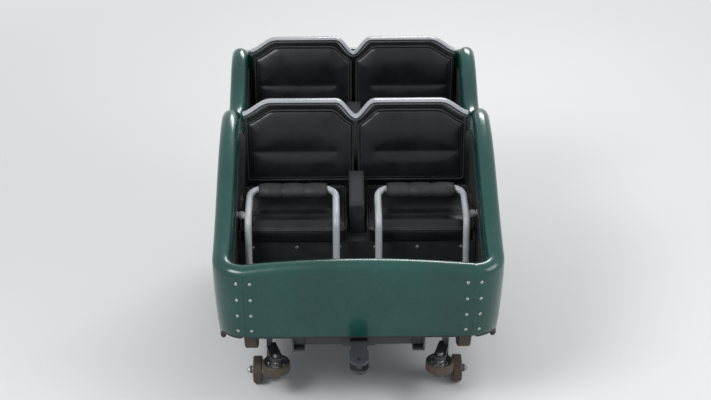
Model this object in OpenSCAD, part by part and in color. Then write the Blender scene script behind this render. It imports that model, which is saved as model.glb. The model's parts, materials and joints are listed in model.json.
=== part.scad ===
// One car of a wooden roller coaster train: two rows of two seats, moulded sides,
// a lap bar for each rider, and the three-way running gear under the chassis.
// The car's front points to -Y, its left side is +X, and z = 0 is the lowest point
// of the up-stop wheels, which run under the rails.

/* [Body] */
// Length of the body over the nose and tail panels
body_length = 2000; // [1960:10:2200]
// Width of the body over the side walls
body_width = 1380; // [1340:10:1500]
// Top face of the floor
floor_top = 542; // [542:1:570]
// Height of the side walls' shoulders beside each seat back
shoulder_top = 1240; // [1200:5:1280]
// Height of the dip in the side walls between the two rows
dip_top = 1050; // [1000:5:1120]
// Height of the side walls at the front
front_top = 905; // [860:5:960]
// Height of the tail panel
tail_top = 1190; // [1120:5:1230]
// Thickness of the side walls
side_wall = 90; // [80:1:100]
// Thickness of the tail panel
tail_wall = 60; // [50:1:70]
// Lowest edge of the side walls
skirt_bottom = 400; // [380:5:440]
// Lowest edge of the nose and tail panels, above the couplings
panel_bottom = 520; // [500:1:525]

/* [Seats] */
// Highest point of the seat backs
back_top = 1300; // [1280:5:1340]
// Lean of the seat backs in degrees
back_lean = 10; // [6:1:12]
// Top face of the cushions
cushion_top = 870; // [860:1:880]
// Thickness of the cushions
cushion_thickness = 100; // [80:1:110]
// Depth of the cushions from front to rear
cushion_depth = 450; // [420:5:460]
// Thickness of the back pads
pad_thickness = 60; // [45:1:70]
// Width of the block between the two seats of a row
divider_width = 76; // [60:2:90]
// Depth of the notch in the middle of a seat back's top edge
notch_depth = 85; // [60:5:110]
// Fall of a seat back's top edge at its outer ends
shoulder_drop = 70; // [50:5:90]

/* [Lap bars] */
// Radius of the lap bar's tube
bar_tube_radius = 17; // [14:1:20]
// Height of the lap bar over the cushion when closed
bar_height = 105; // [95:5:140]
// Distance between the two arms of a lap bar
bar_span = 430; // [400:10:450]
// Height of the lap bar's hinge
bar_hinge_z = 620; // [615:5:640]

/* [Running gear] */
// Distance between the middles of the two rails
rail_gauge = 1067; // [1040:1:1080]
// Distance between the axles
wheelbase = 1200; // [1100:10:1260]
// Radius of the road wheels
road_radius = 140; // [130:1:142]
// Radius of the guide wheels
guide_radius = 70; // [60:1:72]
// Radius of the up-stop wheels
upstop_radius = 70; // [60:1:72]
// Thickness of the rail ledge held between the wheels
ledge_thickness = 86; // [80:1:96]
// Width of the rail
rail_width = 100; // [90:1:110]

/* [Couplings] */
// Gap between the bodies of two coupled cars
car_gap = 200; // [180:10:300]
// Radius of the coupling pins
coupling_pin_radius = 16; // [12:1:20]

/* [Hidden] */
$fn = 48;
running_fit = 0.05;
// How far joined shapes reach into each other, and how far a cut runs past them
weld = 1;
cut_past = 1;

half_width = body_width / 2;
half_length = body_length / 2;
inner_half = half_width - side_wall;
car_pitch = body_length + car_gap;

front_corner = 150;
rear_corner = 100;
skirt_wall = 40;
wall_tuck = 22;
lining = 6;
lining_drop = 70;
panel_gap = 1;
floor_thickness = 12;
floor_gap = 2;

wheel_gap = 6;
rail_top = 2 * upstop_radius + wheel_gap + ledge_thickness;
axle_z = rail_top + road_radius;
axle_y = wheelbase / 2;
track_x = rail_gauge / 2;
rail_inner_x = track_x - rail_width / 2;
guide_gap = 4;
guide_x = rail_inner_x - guide_gap - guide_radius;
guide_y = 150;
guide_drop = 35;
guide_z = rail_top - guide_drop;
upstop_inset = 28;
upstop_x = rail_inner_x + upstop_inset;

// Wheels: columns of the sizes below, then one row for each kind
TREAD_R = 0;
TREAD_HALF = 1;
BORE_R = 2;
HUB_HALF = 3;
ROAD = [road_radius, 32, 20, 36];
GUIDE = [guide_radius, 25, 12, 27];
UPSTOP = [upstop_radius, 23, 12, 26];

deck_top = cushion_top - cushion_thickness;
shell_y = 52;
shell_thickness = 24;
back_gap = 30;
back_reach = shell_y + shell_thickness + (tail_top - deck_top) * tan(back_lean);
row_share = 0.43;
row_pitch = row_share * body_length;
rear_row_y = half_length - tail_wall - back_gap - back_reach;
front_row_y = rear_row_y - row_pitch;
seat_x = (inner_half + divider_width / 2) / 2;

// Rows: name, the row's y
ROWS = [["front", front_row_y], ["rear", rear_row_y]];

// Seats: name, side of x, the row's y
SEATS = [
    ["front_left", 1, front_row_y],
    ["front_right", -1, front_row_y],
    ["rear_left", 1, rear_row_y],
    ["rear_right", -1, rear_row_y],
];

// Corners of the car: name, side of x, side of y
CORNERS = [
    ["front_left", 1, -1],
    ["front_right", -1, -1],
    ["rear_left", 1, 1],
    ["rear_right", -1, 1],
];

ROW_PIECES = ["_axle_beam", "_seat_base", "_seat_back", "_divider"];
CORNER_PIECES = ["_carrier", "_road_wheel", "_guide_wheel", "_upstop_wheel"];
SEAT_PIECES = ["_cushion", "_back_pad", "_lap_bar"];

function unit(v) = v / norm(v);
function ease(t) = let (u = min(max(t, 0), 1)) u * u * (3 - 2 * u);
function eased(a, b, t) = a + (b - a) * ease(t);

module at_seat(seat)
    mirror([seat[1] < 0 ? 1 : 0, 0, 0])
    translate([seat_x, seat[2], 0])
    children();

module at_corner(corner)
    mirror([corner[1] < 0 ? 1 : 0, 0, 0])
    mirror([0, corner[2] < 0 ? 1 : 0, 0])
    translate([0, axle_y, 0])
    children();

// Round bar along x, from x0 to x1
module x_bar(x0, x1, r) translate([x0, 0, 0]) rotate([0, 90, 0]) cylinder(r = r, h = x1 - x0);

// Solid skinned over rings that all have the same number of points
module skin(rings) {
    n = len(rings[0]);
    last = len(rings) - 1;
    points = [for (ring = rings) each ring];
    sides = [
        for (i = [0:last - 1], j = [0:n - 1])
            let (a = i * n + j, b = i * n + (j + 1) % n)
            each [[a, b, b + n], [a, b + n, a + n]]
    ];
    first_cap = [for (j = [n - 1:-1:0]) j];
    last_cap = [for (j = [0:n - 1]) last * n + j];
    polyhedron(points, concat(sides, [first_cap, last_cap]), convexity = 10);
}

// Body walls

// Height of the walls' rim along the car, eased between a few keys of y and height.
// Each shoulder is a little ahead of a seat back's top, and the dip is between them.
shoulder_lead = 30;
dip_share = 0.47;
tail_run = 20;
shoulder_y = shell_y + (back_top - deck_top) * tan(back_lean) - shoulder_lead;
RIM_KEYS = [
    [-half_length, front_top],
    [front_row_y + shoulder_y, shoulder_top],
    [front_row_y + shoulder_y + dip_share * row_pitch, dip_top],
    [rear_row_y + shoulder_y, shoulder_top],
    [half_length + tail_run, tail_top],
];
function key_at(y, i = 0) = i >= len(RIM_KEYS) - 2 || y < RIM_KEYS[i + 1][0] ? i : key_at(y, i + 1);
function rim_height(y) =
    let (i = key_at(y), a = RIM_KEYS[i], b = RIM_KEYS[i + 1])
    eased(a[1], b[1], (y - a[0]) / (b[0] - a[0]));

// The skirt rises to the panels' lower edge over a length that starts near the corners
skirt_rise = 180;
skirt_rise_from = 234;
function skirt_height(y) =
    eased(skirt_bottom, panel_bottom, (abs(y) - half_length + skirt_rise_from) / skirt_rise);

// Section of a wall as distances in from the outer face, and heights. It starts at
// the step over the floor, from where the whole section is in view.
rim_steps = 8;
wall_steps = 5;
function wall_section(bottom, top, wall) =
    let (r = wall / 2, shoulder = top - r)
    concat(
        [[skirt_wall, floor_top], [skirt_wall, bottom]],
        [for (i = [0:wall_steps])
            let (u = i / wall_steps)
            [wall_tuck * pow(1 - u, 2), bottom + u * (shoulder - bottom)]],
        [for (i = [1:rim_steps])
            let (a = 180 * i / rim_steps)
            [r - r * cos(a), shoulder + r * sin(a)]],
        [[wall, shoulder - lining_drop], [wall + lining, shoulder - lining_drop - 2 * lining]],
        [[wall + lining, floor_top]]
    );

// One ring of a wall: place of the outer face, its outward angle, and the section
function wall_ring(x, y, angle, bottom, top, wall) = [
    for (p = wall_section(bottom, top, wall)) [x - p[0] * cos(angle), y - p[0] * sin(angle), p[1]]
];
function corner_ring(cx, cy, r, angle, wall) =
    let (x = cx + r * cos(angle), y = cy + r * sin(angle))
    wall_ring(x, y, angle, skirt_height(y), rim_height(y), wall);

// Rings of the left wall: the front corner, the straight side, the rear corner
corner_steps = 8;
side_steps = 34;
function left_wall_rings() =
    let (
        x = half_width,
        y0 = -half_length + front_corner,
        y1 = half_length - rear_corner
    )
    concat(
        [for (i = [0:corner_steps])
            corner_ring(x - front_corner, y0, front_corner, -90 + 90 * i / corner_steps, side_wall)],
        [for (i = [1:side_steps - 1])
            let (y = y0 + (y1 - y0) * i / side_steps)
            wall_ring(x, y, 0, skirt_height(y), rim_height(y), side_wall)],
        [for (i = [0:corner_steps])
            let (u = i / corner_steps)
            corner_ring(x - rear_corner, y1, rear_corner, 90 * u, eased(side_wall, tail_wall, u))]
    );

module left_side() skin(left_wall_rings());

// A straight wall across the car, crowned in the middle
cross_steps = 12;
module cross_wall(y, half_span, angle, crown, wall)
    skin([
        for (i = [0:cross_steps])
            let (
                u = 2 * i / cross_steps - 1,
                x = half_span * u * sign(-angle),
                top = rim_height(y) + crown * (1 - u * u)
            )
            wall_ring(x, y, angle, panel_bottom, top, wall)
    ]);

nose_crown = 30;
tail_crown = 12;
module nose_panel()
    cross_wall(-half_length, half_width - front_corner - panel_gap, -90, nose_crown, side_wall);
module tail_panel()
    cross_wall(half_length, half_width - rear_corner - panel_gap, 90, tail_crown, tail_wall);

// Floor with the hinge brackets and the pawl boxes of the lap bars

hinge_offset = 540;
hinge_pin_radius = 12;
eye_radius = 30;
eye_length = 34;
eye_gap = 3;
bracket_thickness = 12;
bracket_foot = 120;
bracket_step = 8;
bracket_neck = 0.86 * eye_radius;
pin_cap_radius = 18;
pin_cap = 6;
sector_radius = 68;
pawl_box = [24, 26, 58];
pawl_gap = 12;
pawl_box_y = -sector_radius - pawl_gap - pawl_box[1];

module floor_outline() {
    inset = skirt_wall + floor_gap;
    hull()
        for (side = [-1, 1]) {
            translate([side * (half_width - front_corner), -half_length + front_corner])
                circle(front_corner - inset);
            translate([side * (half_width - rear_corner), half_length - rear_corner])
                circle(rear_corner - inset);
        }
}

// Bracket on the side of an arm's eye, with the pin that carries the eye
module bar_bracket(side) {
    near = eye_length / 2 + eye_gap;
    mirror([side < 0 ? 1 : 0, 0, 0]) {
        translate([near, 0, 0])
            rotate([90, 0, 90])
            linear_extrude(bracket_thickness)
            union() {
                translate([0, bar_hinge_z]) circle(eye_radius);
                polygon([
                    [-bracket_foot / 2, floor_top - weld], [bracket_foot / 2, floor_top - weld],
                    [bracket_foot / 2, floor_top + bracket_step], [bracket_neck, bar_hinge_z],
                    [-bracket_neck, bar_hinge_z], [-bracket_foot / 2, floor_top + bracket_step],
                ]);
            }
        translate([0, 0, bar_hinge_z]) x_bar(-near, near + weld, hinge_pin_radius);
        translate([0, 0, bar_hinge_z]) x_bar(-near - pin_cap, -near, pin_cap_radius);
    }
}

module floor_pan()
    union() {
        translate([0, 0, floor_top - floor_thickness]) linear_extrude(floor_thickness) floor_outline();
        for (seat = SEATS)
            at_seat(seat)
            translate([0, -hinge_offset, 0]) {
                for (side = [-1, 1]) translate([side * bar_span / 2, 0, 0]) bar_bracket(side);
                translate([-(bar_span + pawl_box[0]) / 2, pawl_box_y, floor_top - weld])
                    cube(pawl_box);
            }
    }

// Chassis: channel sills, cross members, outriggers, brake fins and the rear clevis

beam_size = 80;
beam_wall = 8;
beam_top = axle_z + beam_size / 2;
sill_x = 290;
sill_width = 60;
sill_wall = 8;
sill_inset = 60;
sill_top = floor_top - floor_thickness;
sill_outer = sill_x + sill_width / 2;
sill_inner = sill_x - sill_width / 2;
module sill() {
    height = sill_top - beam_top;
    length = body_length - 2 * sill_inset;
    translate([sill_inner, -length / 2, beam_top])
        difference() {
            cube([sill_width, length, height]);
            translate([-cut_past, -cut_past, sill_wall])
                cube([sill_width - sill_wall + cut_past, length + 2 * cut_past, height - 2 * sill_wall]);
        }
}

cross_size = 60;
cross_rise = 20;
cross_drop = 30;
cross_low = beam_top + cross_rise;
cross_high = sill_top - cross_drop;
front_cross_inset = 120;
rear_cross_inset = 170;
middle_cross_share = 0.17;
front_cross_y = -half_length + front_cross_inset;
rear_cross_y = half_length - rear_cross_inset;
middle_cross_y = middle_cross_share * body_length;
module cross_member(y) {
    reach = sill_outer - sill_wall + weld;
    translate([-reach, y - cross_size / 2, cross_low]) cube([2 * reach, cross_size, cross_high - cross_low]);
}

// Outriggers: tapered arms from the sills to the floor's edge
outrigger_width = 50;
outrigger_root_depth = 62.4;
outrigger_tip_depth = 15.6;
outrigger_inset = 30;
outrigger_root = 2;
outrigger_end = half_width - skirt_wall - outrigger_inset;
rear_outrigger_inset = 120;
OUTRIGGER_Y = [front_cross_y, -middle_cross_y, 0, middle_cross_y, half_length - rear_outrigger_inset];
module outrigger(y)
    translate([0, y + outrigger_width / 2, 0])
        rotate([90, 0, 0])
        linear_extrude(outrigger_width)
        polygon([
            [sill_outer - outrigger_root, sill_top - outrigger_root_depth],
            [outrigger_end, sill_top - outrigger_tip_depth],
            [outrigger_end, sill_top],
            [sill_outer - outrigger_root, sill_top],
        ]);

coupling_z = 450;
clevis_gap = 34;
clevis_plate = 16;
coupling_eye = 45;
drawbar_thickness = 30;
drawbar_width = 44;
drawbar_pin_inset = 100;
drawbar_pin_y = half_length - drawbar_pin_inset;
drawbar_root = 32;
clevis_lip = 4;
pin_head = 8;

// Pair of clevis plates with their round end at y, joined to the car at root_y
module clevis_plates(y, root_y, radius, bore)
    for (z = [coupling_z - clevis_gap / 2 - clevis_plate, coupling_z + clevis_gap / 2])
        translate([0, 0, z])
        linear_extrude(clevis_plate)
        difference() {
            hull() {
                translate([0, y]) circle(radius);
                translate([-radius, min(root_y, y)]) square([2 * radius, abs(root_y - y)]);
            }
            translate([0, y]) circle(bore);
        }

// Brake fins: plates that the station's brakes grip, with a lead-in at each end
fin_x = 150;
fin_thickness = 12;
fin_overhang = 90;
fin_half = middle_cross_y + fin_overhang;
fin_bottom = 300;
fin_lead = 60;
fin_lead_rise = 30;
fin_root_inset = 70;
fin_root = 8;
module brake_fin()
    translate([fin_x + fin_thickness / 2, 0, 0])
        rotate([90, 0, -90])
        linear_extrude(fin_thickness)
        polygon([
            [-fin_half, fin_bottom + fin_lead_rise], [-fin_half + fin_lead, fin_bottom],
            [fin_half - fin_lead, fin_bottom], [fin_half, fin_bottom + fin_lead_rise],
            [fin_half - fin_root_inset, cross_low + fin_root],
            [-fin_half + fin_root_inset, cross_low + fin_root],
        ]);

dog_pin_y = middle_cross_y;
dog_pin_z = 400;
dog_pin_radius = 10;
dog_width = 36;
dog_eye = 24;
dog_gap = 2;
dog_cheek = 12;
dog_cheek_width = 50;
dog_pin_end = 4;
module dog_hinge() {
    near = dog_width / 2 + dog_gap;
    pin_half = near + dog_cheek + dog_pin_end;
    for (side = [0, 1])
        mirror([side, 0, 0])
        translate([near, dog_pin_y - dog_cheek_width / 2, dog_pin_z - dog_eye])
        cube([dog_cheek, dog_cheek_width, cross_low - dog_pin_z + dog_eye + weld]);
    translate([0, dog_pin_y, dog_pin_z]) x_bar(-pin_half, pin_half, dog_pin_radius);
}

module chassis_frame()
    union() {
        for (side = [0, 1])
            mirror([side, 0, 0]) {
                sill();
                for (y = OUTRIGGER_Y) outrigger(y);
                brake_fin();
            }
        for (y = [front_cross_y, -middle_cross_y, middle_cross_y, rear_cross_y]) cross_member(y);
        clevis_plates(drawbar_pin_y, rear_cross_y, drawbar_root + clevis_lip, coupling_pin_radius - weld);
        translate([0, drawbar_pin_y, coupling_z - clevis_gap / 2 - clevis_plate - pin_head])
            cylinder(r = coupling_pin_radius, h = clevis_gap + 2 * (clevis_plate + pin_head));
        dog_hinge();
    }

// Draw tube with the clevis that takes the drawbar of the car ahead
draw_tube_width = 80;
draw_tube_height = 66;
draw_plate_width = 160;
draw_plate = 14;
clevis_throat = 20;
module front_coupling() {
    root = front_cross_y - cross_size / 2;
    tip = -car_pitch / 2 + coupling_eye + clevis_throat;
    union() {
        translate([-draw_tube_width / 2, tip, coupling_z - draw_tube_height / 2])
            cube([draw_tube_width, root - tip, draw_tube_height]);
        translate([-draw_plate_width / 2, root - draw_plate, cross_low])
            cube([draw_plate_width, draw_plate, cross_high - cross_low]);
        clevis_plates(-car_pitch / 2, tip + weld, coupling_eye, coupling_pin_radius + running_fit);
    }
}

module drawbar()
    translate([0, 0, coupling_z - drawbar_thickness / 2])
    linear_extrude(drawbar_thickness)
    difference() {
        union() {
            translate([0, drawbar_pin_y]) circle(drawbar_root);
            translate([0, car_pitch / 2]) circle(coupling_eye);
            translate([-drawbar_width / 2, drawbar_pin_y])
                square([drawbar_width, car_pitch / 2 - drawbar_pin_y]);
        }
        translate([0, drawbar_pin_y]) circle(coupling_pin_radius + running_fit);
        translate([0, car_pitch / 2]) circle(coupling_pin_radius + running_fit);
    }

// Chain dog: a hook that hangs back from its hinge; its outline is y and z from the pin
DOG_HOOK = [[92, -102], [112, -128], [152, -150], [150, -108], [18, 8], [4, -19]];
module chain_dog()
    translate([-dog_width / 2, dog_pin_y, dog_pin_z])
    rotate([90, 0, 90])
    linear_extrude(dog_width)
    difference() {
        union() {
            circle(dog_eye);
            polygon(DOG_HOOK);
        }
        circle(dog_pin_radius + running_fit);
    }

// Running gear

flange = 12;
flange_width = 116;
flange_height = 92;
flange_notch = 14;
carrier_x = 436;
carrier_plate = 24;
hub_gap = 2;
guide_gap_z = 12;
pin_nut = 12;
road_shoulder = 36;
road_nut = 30;
small_shoulder = 22;
small_nut = 20;

// Square tube across the car with an open flange for each wheel carrier
module axle_beam(side)
    translate([0, side * axle_y, axle_z])
    rotate([90, 0, 90])
    difference() {
        union() {
            translate([0, 0, -carrier_x]) linear_extrude(2 * carrier_x) square(beam_size, center = true);
            for (end = [-carrier_x, carrier_x - flange])
                translate([0, 0, end]) {
                    linear_extrude(flange) square([flange_width, beam_size - flange_notch], center = true);
                    linear_extrude(flange) square([beam_size - flange_notch, flange_height], center = true);
                }
        }
        translate([0, 0, -carrier_x - cut_past])
            linear_extrude(2 * (carrier_x + cut_past))
            square(beam_size - 2 * beam_wall, center = true);
    }

// Pin for a wheel: a shoulder from the plate, the bearing length, and a nut
module wheel_pin(wheel, centre, face, shoulder_r, nut_r) {
    hub = wheel[HUB_HALF] + hub_gap;
    x_bar(face - weld, centre - hub, shoulder_r);
    x_bar(face - weld, centre + hub, wheel[BORE_R]);
    x_bar(centre + hub, centre + hub + pin_nut, nut_r);
}

// Lug that holds an end of the guide wheel's pin, rooted in the carrier's plate
lug = 20;
lug_radius = 30;
lug_root_y = 26;
lug_root = 30;
module guide_lug(z)
    translate([0, 0, z])
    linear_extrude(lug)
    hull() {
        translate([guide_x, guide_y]) circle(lug_radius);
        translate([carrier_x - lug, lug_root_y]) square([carrier_plate + lug, lug_root]);
    }

// Wheel carrier: a tapered plate on the beam's end with the pins of its three wheels
carrier_half = 60;
carrier_head = 52;
carrier_toe_half = 34;
carrier_front_rise = 50;
carrier_rear_drop = 10;
module wheel_carrier() {
    face = carrier_x + carrier_plate;
    top_lug = guide_z + GUIDE[HUB_HALF] + guide_gap_z;
    low_lug = guide_z - GUIDE[HUB_HALF] - guide_gap_z - lug;
    union() {
        translate([carrier_x, 0, 0])
            rotate([90, 0, 90])
            linear_extrude(carrier_plate)
            polygon([
                [-carrier_half, axle_z + carrier_head], [-carrier_half, rail_top - carrier_front_rise],
                [-carrier_toe_half, upstop_radius - carrier_toe_half],
                [carrier_toe_half, upstop_radius - carrier_toe_half],
                [carrier_half, 2 * upstop_radius - carrier_rear_drop], [carrier_half, axle_z + carrier_head],
            ]);
        translate([0, 0, axle_z]) wheel_pin(ROAD, track_x, face, road_shoulder, road_nut);
        translate([0, 0, upstop_radius]) wheel_pin(UPSTOP, upstop_x, face, small_shoulder, small_nut);
        guide_lug(top_lug);
        guide_lug(low_lug);
        translate([guide_x, guide_y, low_lug]) cylinder(r = GUIDE[BORE_R], h = top_lug - low_lug + weld);
        for (z = [low_lug + lug - weld, top_lug - guide_gap_z + hub_gap])
            translate([guide_x, guide_y, z]) cylinder(r = small_shoulder, h = guide_gap_z - hub_gap + weld);
    }
}

// Wheel: hub, web, rim and tyre turned as one about z
hub_wall = 14;
hub_fillet = 2;
web_share = 0.4;
rim_share = 0.74;
rim_fillet = 3;
tyre_share = 0.84;
tyre_edge = 5;
module wheel(w) {
    r = w[TREAD_R];
    half = w[TREAD_HALF];
    hub = w[HUB_HALF];
    bore = w[BORE_R] + running_fit;
    hub_r = w[BORE_R] + hub_wall;
    rim_r = rim_share * r;
    web = web_share * half;
    side = [
        [bore, hub], [hub_r, hub], [hub_r + hub_fillet, web],
        [rim_r, web], [rim_r + rim_fillet, half - rim_fillet],
        [tyre_share * r, half], [r - tyre_edge, half], [r, half - tyre_edge],
    ];
    rotate_extrude()
        polygon(concat(side, [for (i = [len(side) - 1:-1:0]) [side[i][0], -side[i][1]]]));
}

module road_wheel() translate([track_x, 0, axle_z]) rotate([0, 90, 0]) wheel(ROAD);
module upstop_wheel() translate([upstop_x, 0, upstop_radius]) rotate([0, 90, 0]) wheel(UPSTOP);
module guide_wheel() translate([guide_x, guide_y, guide_z]) wheel(GUIDE);

// Seats

// Seat base: a folded sheet with a riser, a deck and three ribs
base_sheet = 12;
base_gap = 4;
riser_inset = 50;
riser_offset = cushion_depth - riser_inset;
deck_rear = 90;
rib_rear = 60;
module seat_base() {
    half_span = inner_half - lining - base_gap;
    height = deck_top - floor_top;
    union() {
        translate([-half_span, -riser_offset, floor_top]) cube([2 * half_span, base_sheet, height]);
        translate([-half_span, -riser_offset, deck_top - base_sheet])
            cube([2 * half_span, riser_offset + deck_rear, base_sheet]);
        for (x = [-half_span, -base_sheet / 2, half_span - base_sheet])
            translate([x, -riser_offset, floor_top]) cube([base_sheet, riser_offset + rib_rear, height]);
    }
}

// Cushion with a rounded front edge, drawn as y and z and run across the seat
seat_gap = 5;
seat_width = 2 * (seat_x - divider_width / 2 - seat_gap - lining);
cushion_nose = 20;
cushion_front = riser_offset + cushion_nose;
cushion_rear = cushion_depth - cushion_front;
front_round = 40;
rear_round = 20;
foot_round = 14;
module cushion()
    translate([-seat_width / 2 - lining / 2, 0, 0])
    rotate([90, 0, 90])
    linear_extrude(seat_width)
    hull() {
        translate([front_round - cushion_front, cushion_top - front_round]) circle(front_round);
        translate([foot_round - cushion_front, deck_top + foot_round]) circle(foot_round);
        translate([cushion_rear - rear_round, cushion_top - rear_round]) circle(rear_round);
        translate([cushion_rear - foot_round, deck_top + foot_round]) circle(foot_round);
    }

// Seat back: a shell that leans about the deck's rear edge, with a rolled top rim
back_half = inner_half - lining - base_gap;
back_length = (back_top - deck_top) / cos(back_lean);
notch_half = 100;
shoulder_run = 150;
shell_foot = 6;
shell_inset = 6;
shell_tuck = 3;
rim_end = 12;
shell_half = back_half - rim_end - shell_inset;
module leaned() translate([0, shell_y, deck_top]) rotate([-back_lean, 0, 0]) children();

function edge_height(x) =
    back_length
    - notch_depth * (1 - ease(abs(x) / notch_half))
    - shoulder_drop * ease((abs(x) - back_half + shoulder_run) / shoulder_run);
edge_steps = 7;
function half_edge(from, to) = concat(
    [for (i = [0:edge_steps]) let (x = notch_half * i / edge_steps) if (x >= from) [x, edge_height(x)]],
    [for (i = [0:edge_steps])
        let (x = back_half - shoulder_run + (shoulder_run - rim_end) * i / edge_steps)
        if (x <= to) [x, edge_height(x)]]
);
function top_edge() =
    let (half = half_edge(0, back_half), n = len(half))
    concat([for (i = [n - 1:-1:1]) [-half[i][0], half[i][1]]], half);

rim_half_height = 18;
rim_half_depth = 32;
rim_points = 14;
function rim_ring(p, tilt) = [
    for (i = [0:rim_points - 1])
        let (a = 360 * i / rim_points, up = rim_half_height * cos(a))
        [
            p[0] - up * sin(tilt),
            shell_thickness / 2 + rim_half_depth * sin(a),
            p[1] - rim_half_height + up * cos(tilt)
        ]
];
module back_rim() {
    edge = top_edge();
    last = len(edge) - 1;
    skin([
        for (i = [0:last])
            let (a = edge[max(i - 1, 0)], b = edge[min(i + 1, last)])
            rim_ring(edge[i], atan2(b[1] - a[1], b[0] - a[0]))
    ]);
}

module seat_back()
    leaned()
    union() {
        translate([0, shell_thickness, 0])
            rotate([90, 0, 0])
            linear_extrude(shell_thickness)
            polygon(concat(
                [[shell_half, shell_foot], [-shell_half, shell_foot]],
                [for (p = top_edge())
                    [p[0] * (1 - shell_inset / back_half), p[1] - rim_half_height - shell_tuck]]
            ));
        back_rim();
    }

// Back pad that follows the shell's edge, drawn as x and height up the shell
pad_middle_gap = 6;
pad_side_gap = 22;
pad_foot_gap = 12;
pad_rim_gap = 10;
pad_shell_gap = 0.5;
pad_foot = cushion_thickness + pad_foot_gap;
pad_edge_drop = 2 * rim_half_height + pad_rim_gap;
pad_round = 16;
module back_pad_outline() {
    inner = pad_middle_gap;
    outer = back_half - pad_side_gap;
    offset(r = pad_round)
        offset(delta = -pad_round)
        polygon(concat(
            [[outer, pad_foot], [inner, pad_foot], [inner, edge_height(inner) - pad_edge_drop]],
            [for (p = half_edge(inner + 1, outer - 1)) [p[0], p[1] - pad_edge_drop]],
            [[outer, edge_height(outer) - pad_edge_drop]]
        ));
}

module back_pad()
    leaned()
    translate([-seat_x, -pad_shell_gap, 0])
    rotate([90, 0, 0])
    linear_extrude(pad_thickness)
    back_pad_outline();

// Block between the seats, rounded along its top, which rises towards the seat back
divider_gap = 2;
divider_setback = 135;
divider_lean = 45;
divider_foot = 20;
divider_round = 30;
divider_front_rise = 35;
divider_rear_rise = 85;
divider_front = cushion_depth - divider_setback;
module divider()
    translate([-divider_width / 2 + divider_gap, 0, 0])
    rotate([90, 0, 90])
    linear_extrude(divider_width - 2 * divider_gap)
    hull() {
        translate([-divider_front, deck_top]) square([divider_front - pad_thickness, divider_foot]);
        translate([-divider_front + divider_lean, cushion_top + divider_front_rise]) circle(divider_round);
        translate([-pad_thickness, cushion_top + divider_rear_rise]) circle(divider_round);
    }

// Lap bars

// Tube along a path of points in space, with round bends at its inner corners.
// A station is a point and the direction of the tube there.
bend_steps = 5;
ring_points = 16;
function bend_stations(path, i, bend) =
    let (
        a = unit(path[i] - path[i - 1]),
        b = unit(path[i + 1] - path[i]),
        angle = acos(a * b),
        n = unit(b - (a * b) * a),
        start = path[i] - a * bend * tan(angle / 2)
    )
    [for (k = [0:bend_steps])
        let (t = angle * k / bend_steps)
        [start + bend * sin(t) * a + bend * (1 - cos(t)) * n, cos(t) * a + sin(t) * n]];
function tube_stations(path, bend) =
    let (last = len(path) - 1)
    concat(
        [[path[0], unit(path[1] - path[0])]],
        [for (i = [1:last - 1]) each bend_stations(path, i, bend)],
        [[path[last], unit(path[last] - path[last - 1])]]
    );
function ring_at(station, up, r) =
    let (
        t = station[1],
        e = unit(up - (up * t) * t),
        f = cross(e, t)
    )
    [for (k = [0:ring_points - 1])
        let (a = 360 * k / ring_points)
        station[0] + r * (cos(a) * e + sin(a) * f)];
module tube(path, bend, r, up) skin([for (s = tube_stations(path, bend)) ring_at(s, up, r)]);

// Toothed sector by which the pawl holds the bar down, drawn about the hinge
sector_teeth = 10;
sector_from = 155;
sector_span = 100;
tooth_depth = 6;
tooth_share = 0.8;
sector_thickness = 8;
module ratchet_sector()
    translate([-sector_thickness / 2, 0, 0])
    rotate([90, 0, 90])
    linear_extrude(sector_thickness)
    polygon(concat(
        [[0, 0]],
        [for (i = [0:sector_teeth - 1], tip = [0, 1])
            let (
                a = sector_from + sector_span * (i + tooth_share * tip) / sector_teeth,
                r = sector_radius - tooth_depth * tip
            )
            [r * cos(a), r * sin(a)]]
    ));

// Lap bar: one tube bent to a U on two cranked arms, with a grip over the lap.
// The crank's corner and the bar's place are given from the hinge, as y and z.
crank_y = 70;
crank_z = 310;
bar_y = 310;
bar_z = cushion_top + bar_height - bar_hinge_z;
bar_bend = 60;
grip_half = 165;
grip_radius = 26;
grip_spread = 14;
grip_drop = 12;
module lap_bar(side_of_car) {
    half = bar_span / 2;
    slope = unit([0, bar_y - crank_y, bar_z - crank_z]);
    path = [
        [-half, 0, 0], [-half, crank_y, crank_z], [-half, bar_y, bar_z],
        [half, bar_y, bar_z], [half, crank_y, crank_z], [half, 0, 0],
    ];
    translate([0, -hinge_offset, bar_hinge_z])
        difference() {
            union() {
                tube(path, bar_bend, bar_tube_radius, cross(slope, [1, 0, 0]));
                for (side = [-1, 1])
                    translate([side * half, 0, 0]) x_bar(-eye_length / 2, eye_length / 2, eye_radius);
                translate([-side_of_car * half, 0, 0]) ratchet_sector();
                translate([0, bar_y, bar_z - grip_drop])
                    rotate([90, 0, 90])
                    linear_extrude(2 * grip_half, center = true)
                    hull()
                    for (side = [-1, 1]) translate([side * grip_spread, 0]) circle(grip_radius);
            }
            for (side = [-1, 1])
                translate([side * half, 0, 0])
                x_bar(-eye_length, eye_length, hinge_pin_radius + running_fit);
        }
}

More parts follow.
